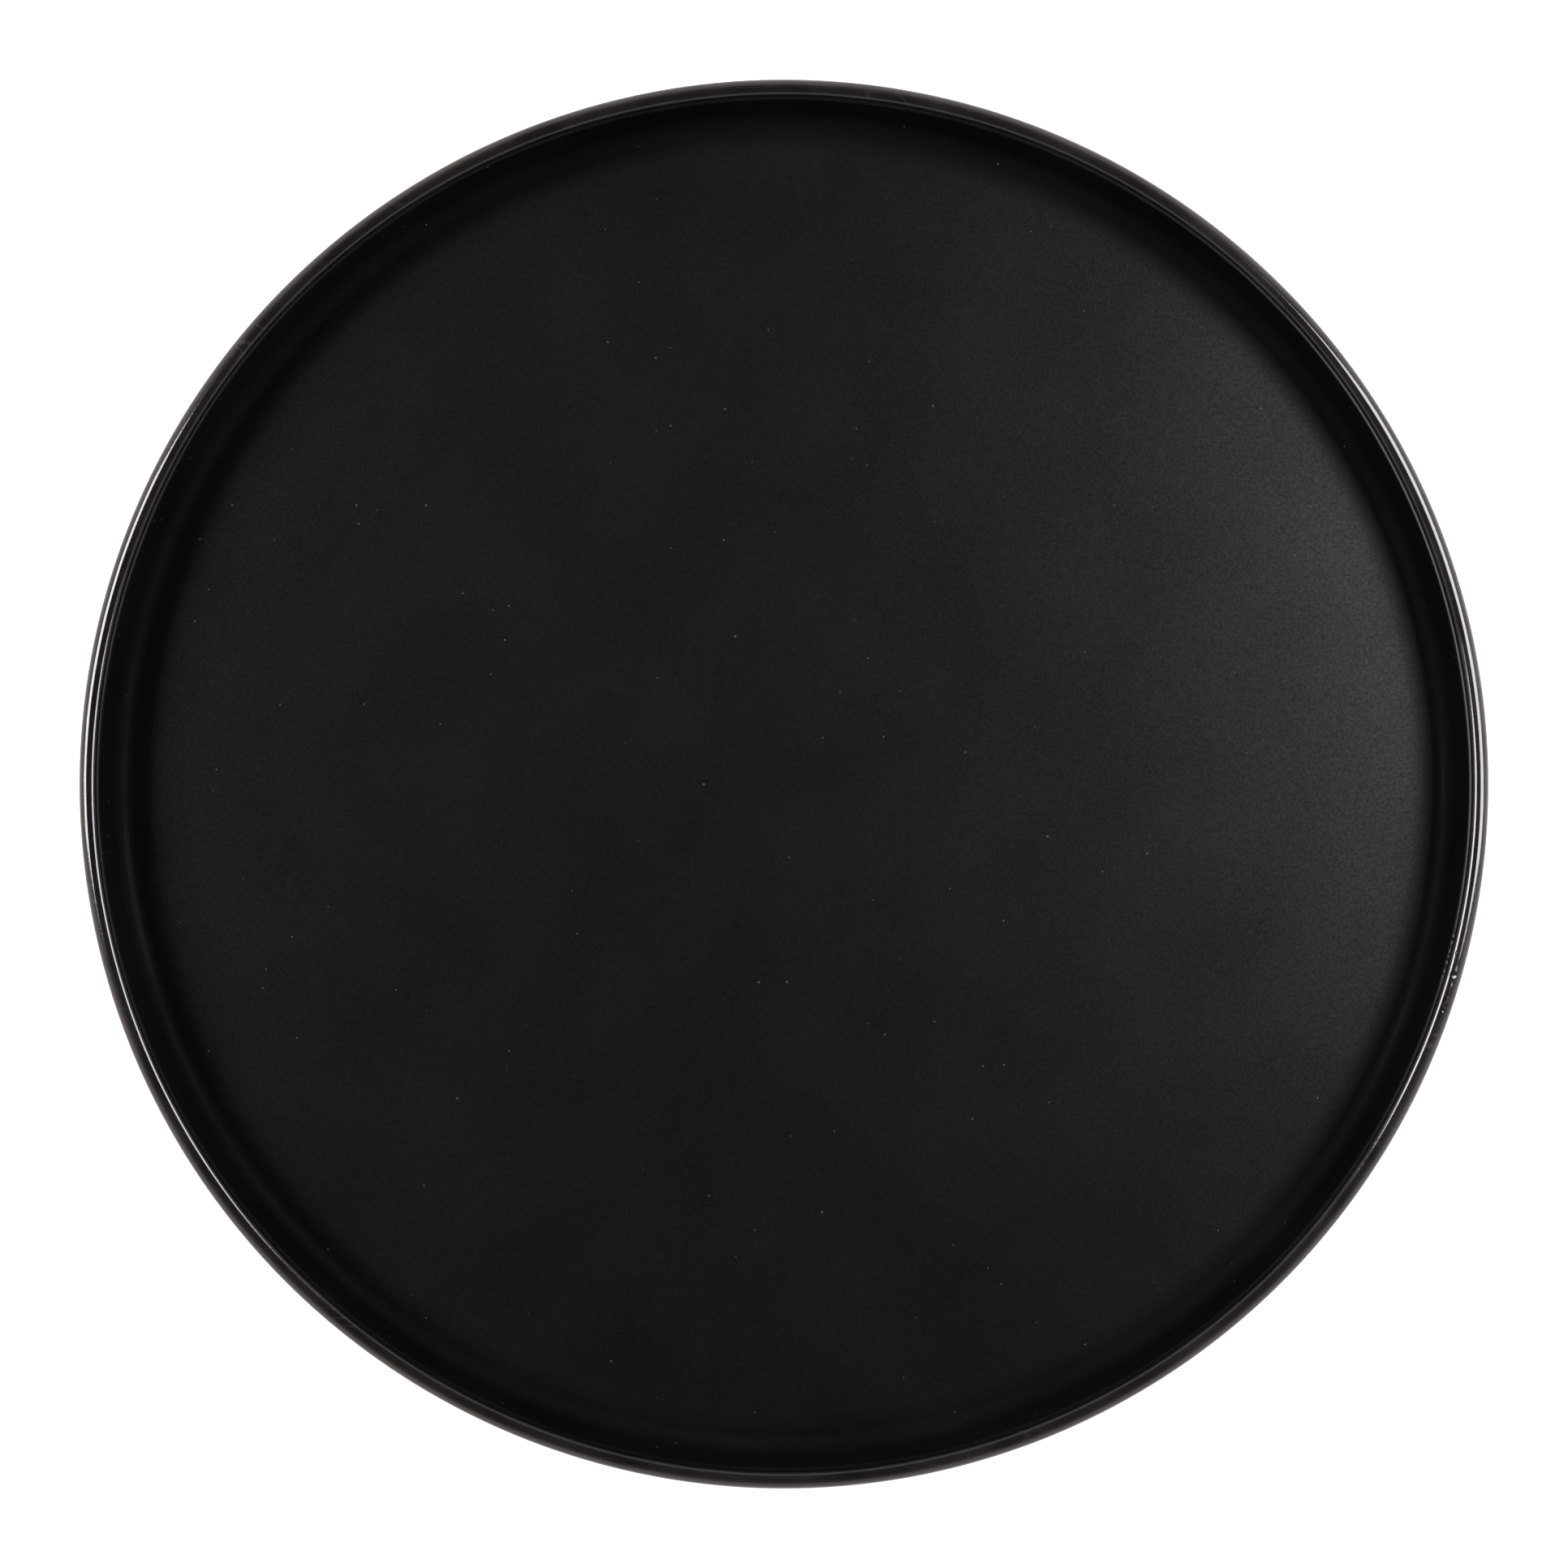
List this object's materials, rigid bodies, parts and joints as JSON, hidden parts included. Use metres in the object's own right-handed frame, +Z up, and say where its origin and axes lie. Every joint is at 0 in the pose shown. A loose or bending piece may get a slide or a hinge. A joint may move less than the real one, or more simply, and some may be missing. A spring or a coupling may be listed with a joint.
{
  "type": "serving tray",
  "caption": "Round flat serving tray with a low steep wall, a beaded rim and a non-slip rubber lining bonded over its inside.",
  "frame": {"origin": "centre of the plane that the foot ring stands on, which is the centre of the tray's bottom", "axes": "+Z up out of the tray along its axis of symmetry; X and Y are any two directions in its plane"},
  "size_m": [0.4059, 0.406, 0.025],
  "materials": {
    "shell": "black moulded shell, glossy on the rim bead, finely grained underneath",
    "lining": "satin black rubber with a very fine pebble grain"
  },
  "bodies": {
    "root": {"tray_body": "shell", "rubber_lining": "lining"}
  },
  "joints": []
}
